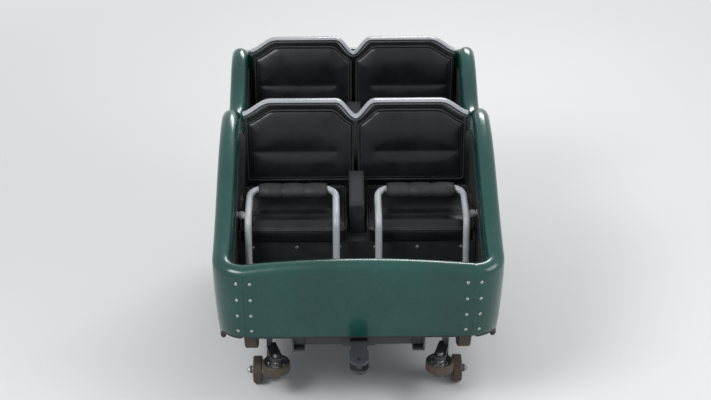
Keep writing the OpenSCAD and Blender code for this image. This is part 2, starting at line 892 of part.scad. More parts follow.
color("slategray") chassis_frame();
color("darkslategray") front_coupling();
color("darkslategray") drawbar();
color("darkslategray") chain_dog();
color("dimgray") floor_pan();
color("teal") left_side();
color("teal") mirror([1, 0, 0]) left_side();  // right_side
color("teal") nose_panel();
color("teal") tail_panel();
color("slategray") axle_beam(-1);  // front_axle_beam
color("slategray") axle_beam(1);  // rear_axle_beam
for (row = ROWS)
    translate([0, row[1], 0]) {
        color("dimgray") seat_base();
        color("silver") seat_back();
        color("dimgray") divider();
    }
for (corner = CORNERS)
    at_corner(corner) {
        color("gray") wheel_carrier();
        color("orange") road_wheel();
        color("orange") guide_wheel();
        color("orange") upstop_wheel();
    }
for (seat = SEATS)
    at_seat(seat) {
        color("black") cushion();
        color("black") back_pad();
    }
for (seat = SEATS)
    translate([seat[1] * seat_x, seat[2], 0])
    color("lightgray")
    lap_bar(seat[1]);
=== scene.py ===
import json
import math

import bmesh
import bpy
from mathutils import Matrix, Vector
from mathutils.bvhtree import BVHTree


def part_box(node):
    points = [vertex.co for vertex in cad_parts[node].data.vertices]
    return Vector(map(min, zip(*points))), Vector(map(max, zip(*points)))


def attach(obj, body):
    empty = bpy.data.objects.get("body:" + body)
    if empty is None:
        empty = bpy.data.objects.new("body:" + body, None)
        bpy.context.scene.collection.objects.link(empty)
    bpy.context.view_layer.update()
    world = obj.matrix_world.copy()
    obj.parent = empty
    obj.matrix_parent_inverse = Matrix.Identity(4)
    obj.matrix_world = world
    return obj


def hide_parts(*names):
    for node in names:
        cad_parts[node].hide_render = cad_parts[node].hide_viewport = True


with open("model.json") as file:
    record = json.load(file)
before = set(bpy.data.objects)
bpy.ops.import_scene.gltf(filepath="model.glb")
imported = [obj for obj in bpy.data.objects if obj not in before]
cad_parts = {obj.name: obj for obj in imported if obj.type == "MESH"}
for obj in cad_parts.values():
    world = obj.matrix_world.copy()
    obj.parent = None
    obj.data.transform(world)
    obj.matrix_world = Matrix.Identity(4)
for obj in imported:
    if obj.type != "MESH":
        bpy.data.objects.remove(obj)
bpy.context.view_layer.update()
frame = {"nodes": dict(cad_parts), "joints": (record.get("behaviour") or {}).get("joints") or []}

# Names of the record. A corner's name serves its wheels, and the seat nearest to it.
BODY = "car"
JOINTS = {joint["name"]: joint for joint in frame["joints"]}
ROWS = ["front", "rear"]
CORNERS = [row + "_" + side for row in ROWS for side in ("left", "right")]
WHEELS = ["road", "guide", "upstop"]
SIDES = [(1, "left_side"), (-1, "right_side")]


def side_of(corner):
    """1 on the car's left, which is at +X, and -1 on its right."""
    return -1 if corner.endswith("right") else 1


def row_of(corner):
    return corner.split("_")[0]


def hinge_of(corner):
    """The middle of the axis that a lap bar turns about."""
    return JOINTS[corner + "_lap_bar_lift"]["pos_m"]


# The camera: the photographer stood high in front of the train, a little to the
# car's right of its middle line. The lens is longer, so that one car fills the view.
CAMERA_PLACE = Vector((-0.10, -6.46, 4.22))
CAMERA_AIM = Vector((0.0, 0.06, 0.70))
CAMERA_LENS_MM = 70.0
BACKDROP = (0.80, 0.81, 0.82)
FLOOR_REACH = 40.0

# Sizes of the source that the frame doesn't tell
FRONT_CORNER = 0.150
REAR_CORNER = 0.100
SIDE_WALL = 0.090
TAIL_WALL = 0.060
FLOOR_TOP = 0.542
HINGE_OFFSET = 0.540
SHELL_Y = 0.052
BACK_LEAN = math.radians(10.0)
PAD_THICKNESS = 0.060
LINING_FACE = 0.5945
BAR_SPAN = 0.430
GRIP_PLACE = Vector((0.0, 0.310, 0.3445))
GRIP_HALF = 0.168
GRIP_SPREAD = 0.014
FIN_X = 0.150
COUPLING_Z = 0.450
DRAWBAR_PIN_Y = 0.900

# Where the walls, rows, seats and axles are
HALF_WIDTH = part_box("left_side")[1].x
HALF_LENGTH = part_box("tail_panel")[1].y
DECK_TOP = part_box("front_left_cushion")[0].z
BACK_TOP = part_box("front_seat_back")[1].z
ROW_Y = {row: hinge_of(row + "_left")[1] + HINGE_OFFSET for row in ROWS}
SEAT_X = hinge_of("front_left")[0]
_, AXLE_Y, AXLE_Z = JOINTS["rear_left_road_wheel_turn"]["pos_m"]

# Padding: the size of the remeshed faces, and how near a point is that counts as on a
# face, in the channel or at the edge; the seam's place inside the outline and below the
# front; the back's height; the front's crown and its run, and the channel's lift; the
# solver's frames, and its longest move
PAD_VOXEL = 0.010
ON_FACE = 0.6 * PAD_VOXEL
CHANNEL_HALF = 0.7 * PAD_VOXEL
AT_EDGE = 0.8 * PAD_VOXEL
SEAM_INSET = 0.007
SEAM_DROP = 0.014
PAD_BACK = 0.002
PAD_CROWN = 0.010
CROWN_RUN = 0.05
CHANNEL_LIFT = 0.004
CLOTH_FRAMES = 20
PAD_SWELL = 0.016

# Pads: where their channels are, how the cushion's front edge falls, and the back
# pad's corners, each as its distance in from the edge and down from the top
CUSHION_CHANNEL = -0.280
BACK_CHANNEL = 0.270
CHANNEL_END_GAP = 0.05
NOSE_FROM = -0.350
NOSE_RUN = 0.070
NOSE_FALL = 0.26
CUSHION_ROUND = 0.040
BACK_ROUND = 0.030
BACK_FOOT = 0.112
BACK_TOP_GAP = 0.006
BACK_SIDE_GAP = 0.002
OUTER_CORNERS = [(0.0, 0.070), (0.030, 0.062), (0.125, 0.0)]
INNER_CORNERS = [(0.098, 0.0), (0.040, 0.058), (0.0, 0.082)]

# Sewing
PIPING_RADIUS = 0.0042
PIPING_LIFT = 0.001
STITCH_INSET = 0.013
STITCH_PITCH = 0.0075
STITCH_ENDS = (0.18, 0.82)
STITCH_RADIUS = 0.0007


# Node graphs

def set_inputs(node, values):
    """Sets a node's inputs by their names, with _ in place of a space."""
    for name, value in values.items():
        node.inputs[name.replace("_", " ")].default_value = value


class Graph:
    """A material's node tree, with short calls to add and link nodes."""

    def __init__(self, name):
        self.material = bpy.data.materials.new(name)
        self.material.use_nodes = True
        self.tree = self.material.node_tree
        self.shader = self.tree.nodes["Principled BSDF"]
        self.coords = self.add("TexCoord").outputs["Object"]

    def add(self, kind, **values):
        node = self.tree.nodes.new("ShaderNode" + kind)
        set_inputs(node, values)
        return node

    def link(self, source, target):
        self.tree.links.new(source, target)

    def set(self, **values):
        set_inputs(self.shader, values)

    def scaled(self, scale):
        node = self.add("Mapping", Scale=scale)
        self.link(self.coords, node.inputs["Vector"])
        return node.outputs["Vector"]

    def noise(self, scale, detail=4.0, rough=0.5, stretch=None):
        node = self.add("TexNoise", Scale=scale, Detail=detail, Roughness=rough)
        self.link(self.scaled(stretch) if stretch else self.coords, node.inputs["Vector"])
        return node.outputs["Fac"]

    def cell_edges(self, scale):
        node = self.add("TexVoronoi", Scale=scale)
        node.feature = "DISTANCE_TO_EDGE"
        self.link(self.coords, node.inputs["Vector"])
        return node.outputs["Distance"]

    def ramp(self, factor, low, high, low_at=0.0, high_at=1.0):
        node = self.add("MapRange", From_Min=low_at, From_Max=high_at, To_Min=low, To_Max=high)
        self.link(factor, node.inputs["Value"])
        return node.outputs["Result"]

    def mix(self, factor, low, high):
        node = self.add("Mix")
        node.data_type = "RGBA"
        self.link(factor, node.inputs["Factor"])
        for colour, socket in ((low, node.inputs[6]), (high, node.inputs[7])):
            if isinstance(colour, tuple):
                socket.default_value = (*colour, 1.0)
            else:
                self.link(colour, socket)
        return node.outputs[2]

    def math(self, operation, a, b):
        node = self.add("Math")
        node.operation = operation
        self.link(a, node.inputs[0])
        if isinstance(b, float):
            node.inputs[1].default_value = b
        else:
            self.link(b, node.inputs[1])
        return node.outputs[0]

    def edges(self, radius=0.004):
        """1 along edges, where a rounded normal turns away from the true one, 0 elsewhere."""
        bevel = self.add("Bevel", Radius=radius)
        bevel.samples = 4
        true = self.add("NewGeometry")
        dot = self.add("VectorMath")
        dot.operation = "DOT_PRODUCT"
        self.link(bevel.outputs["Normal"], dot.inputs[0])
        self.link(true.outputs["Normal"], dot.inputs[1])
        return self.ramp(dot.outputs["Value"], 1.0, 0.0, 0.80, 0.97)

    def bump(self, height, distance, strength=1.0):
        node = self.add("Bump", Distance=distance, Strength=strength)
        self.link(height, node.inputs["Height"])
        self.link(node.outputs["Normal"], self.shader.inputs["Normal"])

    def colour(self, source):
        self.link(source, self.shader.inputs["Base Color"])

    def rough(self, source):
        self.link(source, self.shader.inputs["Roughness"])


def linear(red, green, blue):
    """Linear colour from the eight-bit values that a screen shows."""
    def one(value):
        value /= 255.0
        return value / 12.92 if value <= 0.04045 else ((value + 0.055) / 1.055) ** 2.4
    return (one(red), one(green), one(blue))


def gelcoat(name, base, deep, scuff):
    """Glossy moulded glass-fibre: faint waviness, fine scuffs, grime in the grain."""
    g = Graph(name)
    cloud = g.ramp(g.noise(3.0, 6.0), 0.0, 1.0, 0.35, 0.65)
    scratches = g.noise(60.0, 8.0, 0.7, stretch=(1.0, 0.06, 1.0))
    deep_ones = g.ramp(scratches, 0.0, 0.4, 0.58, 0.72)
    worn = g.math("MULTIPLY", deep_ones, g.ramp(g.noise(5.0), 0.2, 1.0, 0.45, 0.65))
    edge = g.math("MULTIPLY", g.edges(), g.ramp(g.noise(70.0, 5.0), 0.0, 0.7, 0.50, 0.60))
    g.colour(g.mix(g.math("MAXIMUM", worn, edge), g.mix(cloud, deep, base), scuff))
    g.rough(g.ramp(g.noise(9.0, 5.0), 0.18, 0.36, 0.3, 0.7))
    g.bump(g.noise(14.0, 2.0), 0.0012, 0.3)
    g.set(Specular_IOR_Level=0.36, Coat_Weight=0.30, Coat_Roughness=0.1)
    return g.material


def paint(name, base, chip, gloss=0.42, chipped=0.54):
    """Sprayed paint over steel: orange peel, chipped edges, grime."""
    g = Graph(name)
    grime = g.ramp(g.noise(6.0, 7.0, 0.6), 0.0, 1.0, 0.4, 0.7)
    dirty = tuple(0.7 * c + 0.010 for c in base)
    flakes = g.ramp(g.noise(90.0, 5.0, 0.7), 0.0, 1.0, chipped, chipped + 0.05)
    chips = g.math("MULTIPLY", g.edges(0.003), flakes)
    g.colour(g.mix(chips, g.mix(grime, base, dirty), chip))
    g.rough(g.ramp(g.noise(20.0, 4.0), gloss - 0.08, gloss + 0.14, 0.3, 0.7))
    g.bump(g.noise(420.0, 2.0), 0.0004, 0.3)
    return g.material


def vinyl(name, base):
    """Upholstery vinyl: pebbled grain, soft folds, polished where riders sit."""
    g = Graph(name)
    worn = tuple(c * 1.7 + 0.004 for c in base)
    g.colour(g.mix(g.ramp(g.noise(7.0, 6.0), 0.0, 1.0, 0.35, 0.75), base, worn))
    grain = g.cell_edges(420.0)
    folds = g.noise(24.0, 3.0)
    g.bump(g.math("ADD", g.math("MULTIPLY", grain, 0.35), g.math("MULTIPLY", folds, 0.8)), 0.0012, 0.55)
    g.rough(g.ramp(g.noise(11.0, 4.0), 0.24, 0.42, 0.3, 0.7))
    g.set(Specular_IOR_Level=0.26, Sheen_Weight=0.04, Coat_Weight=0.12, Coat_Roughness=0.22)
    return g.material


def rubber(name, base, texture=240.0):
    """Matt rubber or foam skin with a dusty bloom."""
    g = Graph(name)
    bloom = tuple(c * 1.8 + 0.012 for c in base)
    g.colour(g.mix(g.ramp(g.noise(12.0, 6.0), 0.0, 0.6, 0.4, 0.8), base, bloom))
    g.rough(g.ramp(g.noise(30.0, 3.0), 0.55, 0.8, 0.3, 0.7))
    g.bump(g.noise(texture, 3.0), 0.0006, 0.5)
    return g.material


def steel(name, base, roughness=0.34, rust=0.0):
    """Bare or plated steel, brushed, with rust in patches where the part is left raw."""
    g = Graph(name)
    streaks = g.noise(50.0, 4.0, 0.6, stretch=(0.2, 0.2, 3.0))
    bright = g.mix(g.ramp(streaks, 0.0, 1.0, 0.3, 0.7), tuple(0.75 * c for c in base), base)
    patches = g.ramp(g.noise(34.0, 8.0, 0.7), 0.0, rust, 0.5, 0.72)
    g.colour(g.mix(patches, bright, linear(86, 56, 38)))
    g.rough(g.ramp(streaks, roughness - 0.08, roughness + 0.12, 0.3, 0.7))
    g.bump(streaks, 0.0003, 0.3)
    g.set(Metallic=0.85)
    return g.material


TEAL = gelcoat("teal_gelcoat", linear(16, 69, 63), linear(12, 58, 53), linear(80, 118, 111))
# Pale gelcoat of the seat backs' rounded top edge: a pale moulding, and also a painted highlight where
# light catches that edge
RIM_AND_HIGHLIGHT = gelcoat("rim_gelcoat", linear(160, 164, 168), linear(142, 147, 152), linear(204, 206, 208))
SHELL = gelcoat("shell_gelcoat", linear(24, 26, 29), linear(18, 20, 22), linear(70, 72, 76))
VINYL = vinyl("seat_vinyl", linear(13, 14, 18))
# Dark vinyl on the walls' inner lining; its darkness is also painted shade, for the shade that falls
# inside the walls
LINING_AND_SHADE = vinyl("lining_vinyl", linear(21, 23, 26))
PIPING = rubber("seat_piping", linear(15, 16, 18), 500.0)
FRAME_PAINT = paint("frame_paint", linear(50, 54, 58), linear(128, 122, 116))
CARRIER_PAINT = paint("carrier_paint", linear(72, 76, 80), linear(140, 134, 128))
SEAT_PAINT = paint("seat_base_paint", linear(36, 38, 41), linear(110, 108, 104))
BAR_PAINT = paint("bar_paint", linear(168, 172, 176), linear(96, 94, 92), 0.34, 0.60)
FLOOR = paint("floor_paint", linear(56, 58, 60), linear(138, 138, 136), 0.5)
THREAD = rubber("seat_thread", linear(74, 76, 80), 900.0)
DIVIDER = vinyl("divider_cover", linear(34, 36, 40))
GRIP = rubber("grip_foam", linear(18, 19, 21), 700.0)
MAT = rubber("floor_mat", linear(26, 27, 29), 300.0)
TRIM = rubber("edge_trim", linear(22, 23, 25), 400.0)
TYRE = rubber("wheel_tyre", linear(66, 56, 44), 160.0)
HUB = steel("wheel_hub", linear(168, 170, 172), 0.36, 0.15)
RAW = steel("raw_steel", linear(112, 110, 108), 0.46, 0.6)
BOLT = steel("bolt_steel", linear(186, 188, 190), 0.28, 0.1)
KNOB = paint("knob_plastic", linear(206, 208, 208), linear(160, 162, 162), 0.3, 0.65)
WELD = steel("weld_bead", linear(74, 74, 76), 0.5, 0.35)


# Faces of one node that meet at less than this angle are shaded as one surface
SMOOTH_LIMIT = math.cos(math.radians(34))

# Limits of the faces that take a node's second material
LINING_MARGIN = 0.001
FIN_HALF = 0.0065
FIN_BARE_BELOW = 0.425
RIM_FACE_AREA = 0.006
RIM_DROP = 0.15
TYRE_SHARE = 0.8
GRIP_REACH = (GRIP_HALF, 0.042, 0.027)


def smooth_shading(mesh):
    """Shades a faceted CAD mesh smoothly across shallow edges, by its loop normals alone."""
    def key(index):
        return tuple(round(value * 20000) for value in mesh.vertices[index].co)

    around = {}
    for polygon in mesh.polygons:
        polygon.use_smooth = True
        for index in polygon.vertices:
            around.setdefault(key(index), []).append((polygon.normal.copy(), polygon.area))
    normals = []
    for polygon in mesh.polygons:
        for index in polygon.vertices:
            total = Vector()
            for normal, area in around[key(index)]:
                if normal.dot(polygon.normal) > SMOOTH_LIMIT:
                    total += normal * area
            normals.append(total.normalized() if total.length > 0 else polygon.normal.copy())
    mesh.normals_split_custom_set(normals)


def dress(node, material, second=None, takes_second=None):
    """Gives a CAD node its material, and a second one to the faces that pass a test."""
    mesh = frame["nodes"][node].data
    mesh.materials.clear()
    mesh.materials.append(material)
    if second:
        mesh.materials.append(second)
    for polygon in mesh.polygons:
        polygon.material_index = 1 if second and takes_second(polygon) else 0
    smooth_shading(mesh)


def depth_inside(point):
    """How far a point lies inside the body's outline, seen from above."""
    radius = FRONT_CORNER if point.y < 0 else REAR_CORNER
    x = abs(point.x) - HALF_WIDTH + radius
    y = abs(point.y) - HALF_LENGTH + radius
    if x > 0 and y > 0:
        return radius - math.hypot(x, y)
    return radius - max(x, y)


def wall_at(point):
    """The wall's thickness there: it thins to the tail panel's round the rear corners."""
    if point.y < HALF_LENGTH - REAR_CORNER:
        return SIDE_WALL
    across = max(0.0, abs(point.x) - HALF_WIDTH + REAR_CORNER)
    turn = math.atan2(point.y - HALF_LENGTH + REAR_CORNER, across)
    part = turn / (math.pi / 2)
    return SIDE_WALL + (TAIL_WALL - SIDE_WALL) * part * part * (3 - 2 * part)


# Faces inside the walls that take the dark lining colour: lining vinyl, and also painted shade
def on_lining_and_shade(polygon):
    return depth_inside(polygon.center) > wall_at(polygon.center) + LINING_MARGIN


def on_brake_face(polygon):
    """The brakes rub the fins' flat sides bare, below the frame."""
    place = polygon.center
    flat = abs(abs(place.x) - FIN_X) < FIN_HALF and abs(polygon.normal.x) > 0.9
    return flat and place.z < FIN_BARE_BELOW


def on_rim_and_highlight(polygon):
    """The rim along a seat back's top edge, not its large faces or its sides further down. Its pale colour
    is a pale moulding and also a painted highlight along the rounded edge.
    """
    on_side = abs(polygon.normal.x) > 0.98 and polygon.center.z < BACK_TOP - RIM_DROP
    return polygon.area < RIM_FACE_AREA and abs(polygon.normal.y) < 0.97 and not on_side


def dress_wheel(name, wheel):
    """Metal hub, and a tyre on the outer faces."""
    joint = JOINTS[name + "_turn"]
    centre, axis = Vector(joint["pos_m"]), Vector(joint["axis"])
    low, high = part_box(name)
    tread = (high - low).x / 2 if wheel == "guide" else (high - low).z / 2

    def on_tyre(polygon):
        arm = polygon.center - centre
        return (arm - axis * arm.dot(axis)).length > TYRE_SHARE * tread

    dress(name, HUB, TYRE, on_tyre)


def dress_lap_bar(corner):
    """Painted tube, with the grip's colour where the sleeve goes."""
    hinge = Vector(hinge_of(corner))

    def on_grip(polygon):
        away = polygon.center - hinge - GRIP_PLACE
        return all(abs(away[k]) < GRIP_REACH[k] for k in range(3))

    dress(corner + "_lap_bar", BAR_PAINT, GRIP, on_grip)


def dress_car():
    for wall in ("left_side", "right_side", "nose_panel", "tail_panel"):
        # The walls' inner faces get the dark lining colour, which is partly painted shade
        dress(wall, TEAL, LINING_AND_SHADE, on_lining_and_shade)
    dress("chassis_frame", FRAME_PAINT, RAW, on_brake_face)
    dress("front_coupling", FRAME_PAINT)
    dress("floor_pan", FLOOR)
    dress("drawbar", RAW)
    dress("chain_dog", RAW)
    for row in ROWS:
        dress(row + "_axle_beam", FRAME_PAINT)
        dress(row + "_seat_base", SEAT_PAINT)
        # The rim's pale colour is partly a painted highlight on the rounded top edge
        dress(row + "_seat_back", SHELL, RIM_AND_HIGHLIGHT, on_rim_and_highlight)
        dress(row + "_divider", DIVIDER)
    for corner in CORNERS:
        dress(corner + "_carrier", CARRIER_PAINT)
        for wheel in WHEELS:
            dress_wheel(corner + "_" + wheel + "_wheel", wheel)
        dress_lap_bar(corner)


# Padded seats

# The least share of a move that a sharp corner is given, which keeps it from shooting
# inwards, and the most of a side that the round at one of its ends takes up
CORNER_SHARE = 0.4
ROUND_SHARE = 0.45


def new_object(name, mesh, *materials):
    obj = bpy.data.objects.new(name, mesh)
    bpy.context.scene.collection.objects.link(obj)
    for material in materials:
        mesh.materials.append(material)
    return obj


def bake(obj):
    """Applies all the object's modifiers."""
    graph = bpy.context.evaluated_depsgraph_get()
    mesh = bpy.data.meshes.new_from_object(obj.evaluated_get(graph), depsgraph=graph)
    old = obj.data
    obj.modifiers.clear()
    obj.data = mesh
    bpy.data.meshes.remove(old)


def nearest_on_line(point, line):
    """Distance from a flat point to a closed line of flat points."""
    best = 1e9
    for a, b in zip(line, line[1:] + line[:1]):
        along = b - a
        t = max(0.0, min(1.0, (point - a).dot(along) / along.length_squared))
        best = min(best, (point - a - along * t).length)
    return best


def inset_outline(outline, distance):
    """The outline moved inwards, with its corners rounded off by the move."""
    moved = []
    count = len(outline)
    for i, point in enumerate(outline):
        before = (point - outline[i - 1]).normalized()
        after = (outline[(i + 1) % count] - point).normalized()
        normal = Vector((-before.y - after.y, before.x + after.x)).normalized()
        share = max(CORNER_SHARE, normal.dot(Vector((-before.y, before.x))))
        moved.append(point + normal * distance / share)
    return moved


def pad_block(name, line, seam_at):
    """A plain block over a flat line, remeshed into small even faces."""
    mesh = bpy.data.meshes.new(name)
    bm = bmesh.new()
    back = [bm.verts.new((p.x, p.y, PAD_BACK)) for p in line]
    front = [bm.verts.new((p.x, p.y, seam_at)) for p in line]
    count = len(line)
    bm.faces.new(list(reversed(back)))
    bm.faces.new(front)
    for i in range(count):
        j = (i + 1) % count
        bm.faces.new((back[i], back[j], front[j], front[i]))
    bm.to_mesh(mesh)
    bm.free()
    pad = new_object(name, mesh, VINYL)
    remesh = pad.modifiers.new("remesh", "REMESH")
    remesh.mode = "VOXEL"
    remesh.voxel_size = PAD_VOXEL
    bake(pad)
    return pad


def crown_front(mesh, line, seam_at, channel):
    """Crowns the pad's front between its seam and its channel, and tells which vertices
    the solver must hold: those of the back, the seam and the channel."""
    at, low, high = channel
    held = []
    for vertex in mesh.vertices:
        flat = Vector((vertex.co.x, vertex.co.y))
        at_edge = nearest_on_line(flat, line) < AT_EDGE
        on_back = vertex.co.z < ON_FACE
        on_front = vertex.co.z > seam_at - ON_FACE
        in_channel = on_front and abs(flat.y - at) < CHANNEL_HALF and low < flat.x < high
        if on_back or (on_front and at_edge) or in_channel:
            held.append(vertex.index)
        if in_channel:
            vertex.co.z += CHANNEL_LIFT
        elif on_front and not at_edge:
            vertex.co.z += PAD_CROWN * min(1.0, nearest_on_line(flat, line) / CROWN_RUN)
    return held


def inflate(pad, held):
    """Blows the pad up with the cloth solver, and caps how far each point has moved."""
    rest = [vertex.co.copy() for vertex in pad.data.vertices]
    group = pad.vertex_groups.new(name="held")
    group.add(held, 1.0, "REPLACE")
    cloth = pad.modifiers.new("cloth", "CLOTH")
    cloth.settings.vertex_group_mass = "held"
    cloth.settings.use_pressure = True
    cloth.settings.uniform_pressure_force = 4.0
    cloth.settings.effector_weights.gravity = 0.0
    cloth.settings.quality = 4
    cloth.settings.tension_stiffness = 25.0
    cloth.settings.compression_stiffness = 25.0
    cloth.settings.bending_stiffness = 0.6
    cloth.collision_settings.use_collision = False
    for step in range(1, CLOTH_FRAMES + 1):
        bpy.context.scene.frame_set(step)
    bake(pad)
    bpy.context.scene.frame_set(1)
    for vertex, start in zip(pad.data.vertices, rest):
        move = vertex.co - start
        if move.length > PAD_SWELL:
            vertex.co = start + move * (PAD_SWELL / move.length)
    pad.vertex_groups.clear()


def stuffed_pad(name, outline, depth, channel):
    """A pad over an anticlockwise outline: flat on its back, held along its seam and its
    channel, and blown up between them. Gives its seam's line and height too."""
    seam_at = depth - SEAM_DROP
    line = inset_outline(outline, SEAM_INSET)
    pad = pad_block(name, line, seam_at)
    held = crown_front(pad.data, line, seam_at, channel)
    inflate(pad, held)
    smooth = pad.modifiers.new("smooth", "SMOOTH")
    smooth.factor = 0.5
    smooth.iterations = 2
    finer = pad.modifiers.new("finer", "SUBSURF")
    finer.levels = 1
    bake(pad)
    pad.data.polygons.foreach_set("use_smooth", [True] * len(pad.data.polygons))
    return pad, line, seam_at


def rounded_outline(points, radius, steps=5):
    """The outline with a round at each corner."""
    out = []
    count = len(points)
    for i, point in enumerate(points):
        back = points[i - 1] - point
        ahead = points[(i + 1) % count] - point
        cut = min(radius, ROUND_SHARE * back.length, ROUND_SHARE * ahead.length)
        a, b = back.normalized(), ahead.normalized()
        for k in range(steps + 1):
            t = k / steps
            out.append(point + a * cut * (1 - t) ** 2 + b * cut * t ** 2)
    return out


def placed(mesh, matrix):
    """A copy of a mesh moved by a matrix, with its faces turned out again if it is mirrored."""
    copy = mesh.copy()
    copy.transform(matrix)
    if matrix.determinant() < 0:
        copy.flip_normals()
    return copy


def back_pad_outline():
    """The left-hand back pad's outline, as x and height up the leaned shell."""
    low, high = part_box("front_left_back_pad")
    inner, outer = low.x + BACK_SIDE_GAP, high.x - BACK_SIDE_GAP
    top = (high.z - DECK_TOP) / math.cos(BACK_LEAN) - BACK_TOP_GAP
    corners = [(inner, BACK_FOOT), (outer, BACK_FOOT)]
    corners += [(outer - across, top - down) for across, down in OUTER_CORNERS]
    corners += [(inner + across, top - down) for across, down in INNER_CORNERS]
    return rounded_outline([Vector(corner) for corner in corners], BACK_ROUND)


def cushion_outline():
    """The left-hand cushion's outline, as x and distance behind the row."""
    low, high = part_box("front_left_cushion")
    near, far = low.y - ROW_Y["front"], high.y - ROW_Y["front"]
    corners = [(low.x, near), (high.x, near), (high.x, far), (low.x, far)]
    return rounded_outline([Vector(corner) for corner in corners], CUSHION_ROUND)


def nose_down(point):
    """Lowers a point of the cushion towards its front edge, where the cushion is rounded."""
    front = min(1.0, max(0.0, (NOSE_FROM - point.y) / NOSE_RUN))
    point.z -= NOSE_FALL * point.z * front ** 2


def add_pad(node, master, line, matrix):
    """Puts a copy of a pad in the place of a CAD node, with its piping and stitches."""
    pad = new_object(node + "_padded", placed(master.data, matrix))
    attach(pad, BODY)
    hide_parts(node)
    piping, stitches = Kit(), Kit()
    piping.tube([matrix @ point for point in line], PIPING_RADIUS, closed=True)
    piping.finish(node + "_piping", PIPING, slot="upholstery", crisp=60.0)
    flat_line = [Vector((point.x, point.y)) for point in line]
    stitches.stitched(master, matrix, inset_outline(flat_line, STITCH_INSET))
    stitches.finish(node + "_stitches", THREAD, slot="upholstery")


def add_seats():
    """Makes the left-hand cushion and back pad once, and puts copies on all the seats."""
    low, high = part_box("front_left_cushion")
    ends = (low.x + CHANNEL_END_GAP, high.x - CHANNEL_END_GAP)
    cushion, cushion_line, seam = stuffed_pad(
        "cushion_master", cushion_outline(), high.z - low.z, (CUSHION_CHANNEL, *ends)
    )
    cushion_line = [Vector((p.x, p.y, seam + PIPING_LIFT)) for p in cushion_line]
    for point in cushion_line:
        nose_down(point)
    for vertex in cushion.data.vertices:
        nose_down(vertex.co)
    back_pad, back_line, seam = stuffed_pad(
        "back_pad_master", back_pad_outline(), PAD_THICKNESS, (BACK_CHANNEL, *ends)
    )
    back_line = [Vector((p.x, p.y, seam + PIPING_LIFT)) for p in back_line]
    lean = Matrix.Rotation(math.pi / 2 - BACK_LEAN, 4, "X")
    for seat in CORNERS:
        mirror = Matrix.Diagonal((side_of(seat), 1.0, 1.0, 1.0))
        row_y = ROW_Y[row_of(seat)]
        on_deck = mirror @ Matrix.Translation((0, row_y, DECK_TOP))
        on_shell = mirror @ Matrix.Translation((0, row_y + SHELL_Y, DECK_TOP)) @ lean
        add_pad(seat + "_cushion", cushion, cushion_line, on_deck)
        add_pad(seat + "_back_pad", back_pad, back_line, on_shell)
    bpy.data.objects.remove(cushion)
    bpy.data.objects.remove(back_pad)


# Trim

# Above this cosine, a tube's direction can't also tell how its rings are turned
NEARLY_PARALLEL = 0.95


